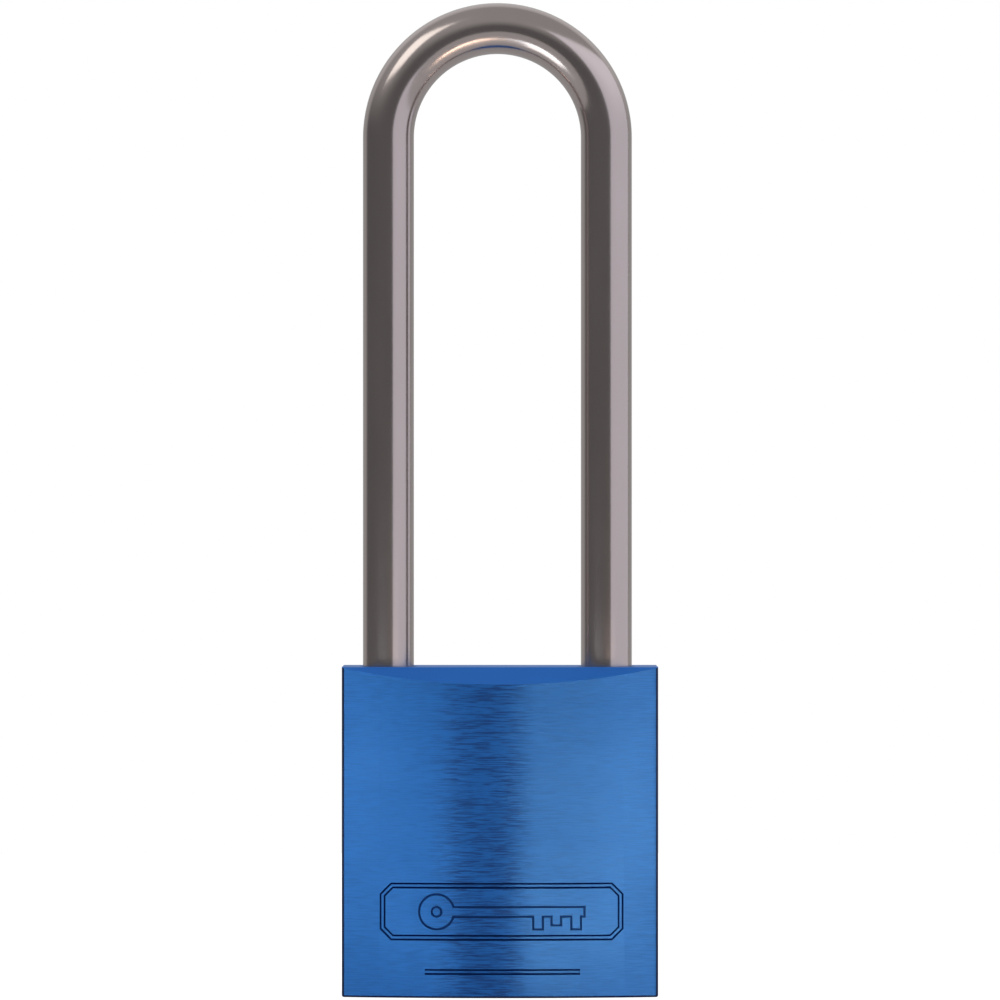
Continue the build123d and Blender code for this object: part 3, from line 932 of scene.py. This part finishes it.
def make_world():
    """White to the camera, dim in front of the padlock, brighter above and behind it."""
    world = bpy.data.worlds.new("studio")
    bpy.context.scene.world = world
    world.use_nodes = True
    tree = world.node_tree
    background = tree.nodes["Background"]
    background.inputs["Color"].default_value = (1, 1, 1, 1)
    path = tree.nodes.new("ShaderNodeLightPath")
    where = tree.nodes.new("ShaderNodeTexCoord")
    split = tree.nodes.new("ShaderNodeSeparateXYZ")
    tree.links.new(where.outputs["Generated"], split.inputs[0])
    shares = []
    for axis, start, end, low, high in WORLD_RAMPS:
        share = tree.nodes.new("ShaderNodeMapRange")
        share.interpolation_type = "SMOOTHSTEP"
        tree.links.new(split.outputs[axis], share.inputs["Value"])
        set_range(share, start, end, low, high)
        shares.append(share.outputs["Result"])
    both = tree.nodes.new("ShaderNodeMath")
    both.operation = "ADD"
    for i, share in enumerate(shares):
        tree.links.new(share, both.inputs[i])
    mix = tree.nodes.new("ShaderNodeMix")
    tree.links.new(path.outputs["Is Camera Ray"], mix.inputs[0])
    tree.links.new(both.outputs[0], mix.inputs[2])
    mix.inputs[3].default_value = 1.0
    tree.links.new(mix.outputs[0], background.inputs["Strength"])


def make_camera():
    """The photo's view: level, from the front, a metre away."""
    camera = bpy.data.cameras.new("camera")
    camera.sensor_width = SENSOR_WIDTH
    camera.lens = FOCAL_LENGTH
    camera.clip_end = CLIP_END
    obj = link("camera", camera)
    obj.location = CAMERA_PLACE
    obj.rotation_euler = (math.radians(90), 0, 0)
    bpy.context.scene.camera = obj


make_floor()
make_world()
softbox("right_panel", 67, 5, 0.6, (1.3, 1.15), 0.76, (0.9, 0.9, 1.0))
softbox("key_left", -55, 45, 0.7, (0.36, 0.34), 1.55, (1.0, 0.97, 0.9))
strip("strip_left", -0.12, -0.0203, 5.4, (0.84, 0.94, 1))
strip("strip_right", 0.0084, 0.087, 11.4, (1, 0.74, 0.56))
# A small one lies on the table, left of the lens, and lights the arch from below.
area_lamp("low_card", (0.066, 0.066), 1.65, (-0.0685, -0.085, 0.004), FACE_UP)
# A large one under the table is only seen by the padlock's underside.
area_lamp("underlight", (0.4, 0.4), 0.7, (0, 0, -0.35), FACE_UP)
make_camera()
bpy.context.scene.view_settings.view_transform = "Standard"
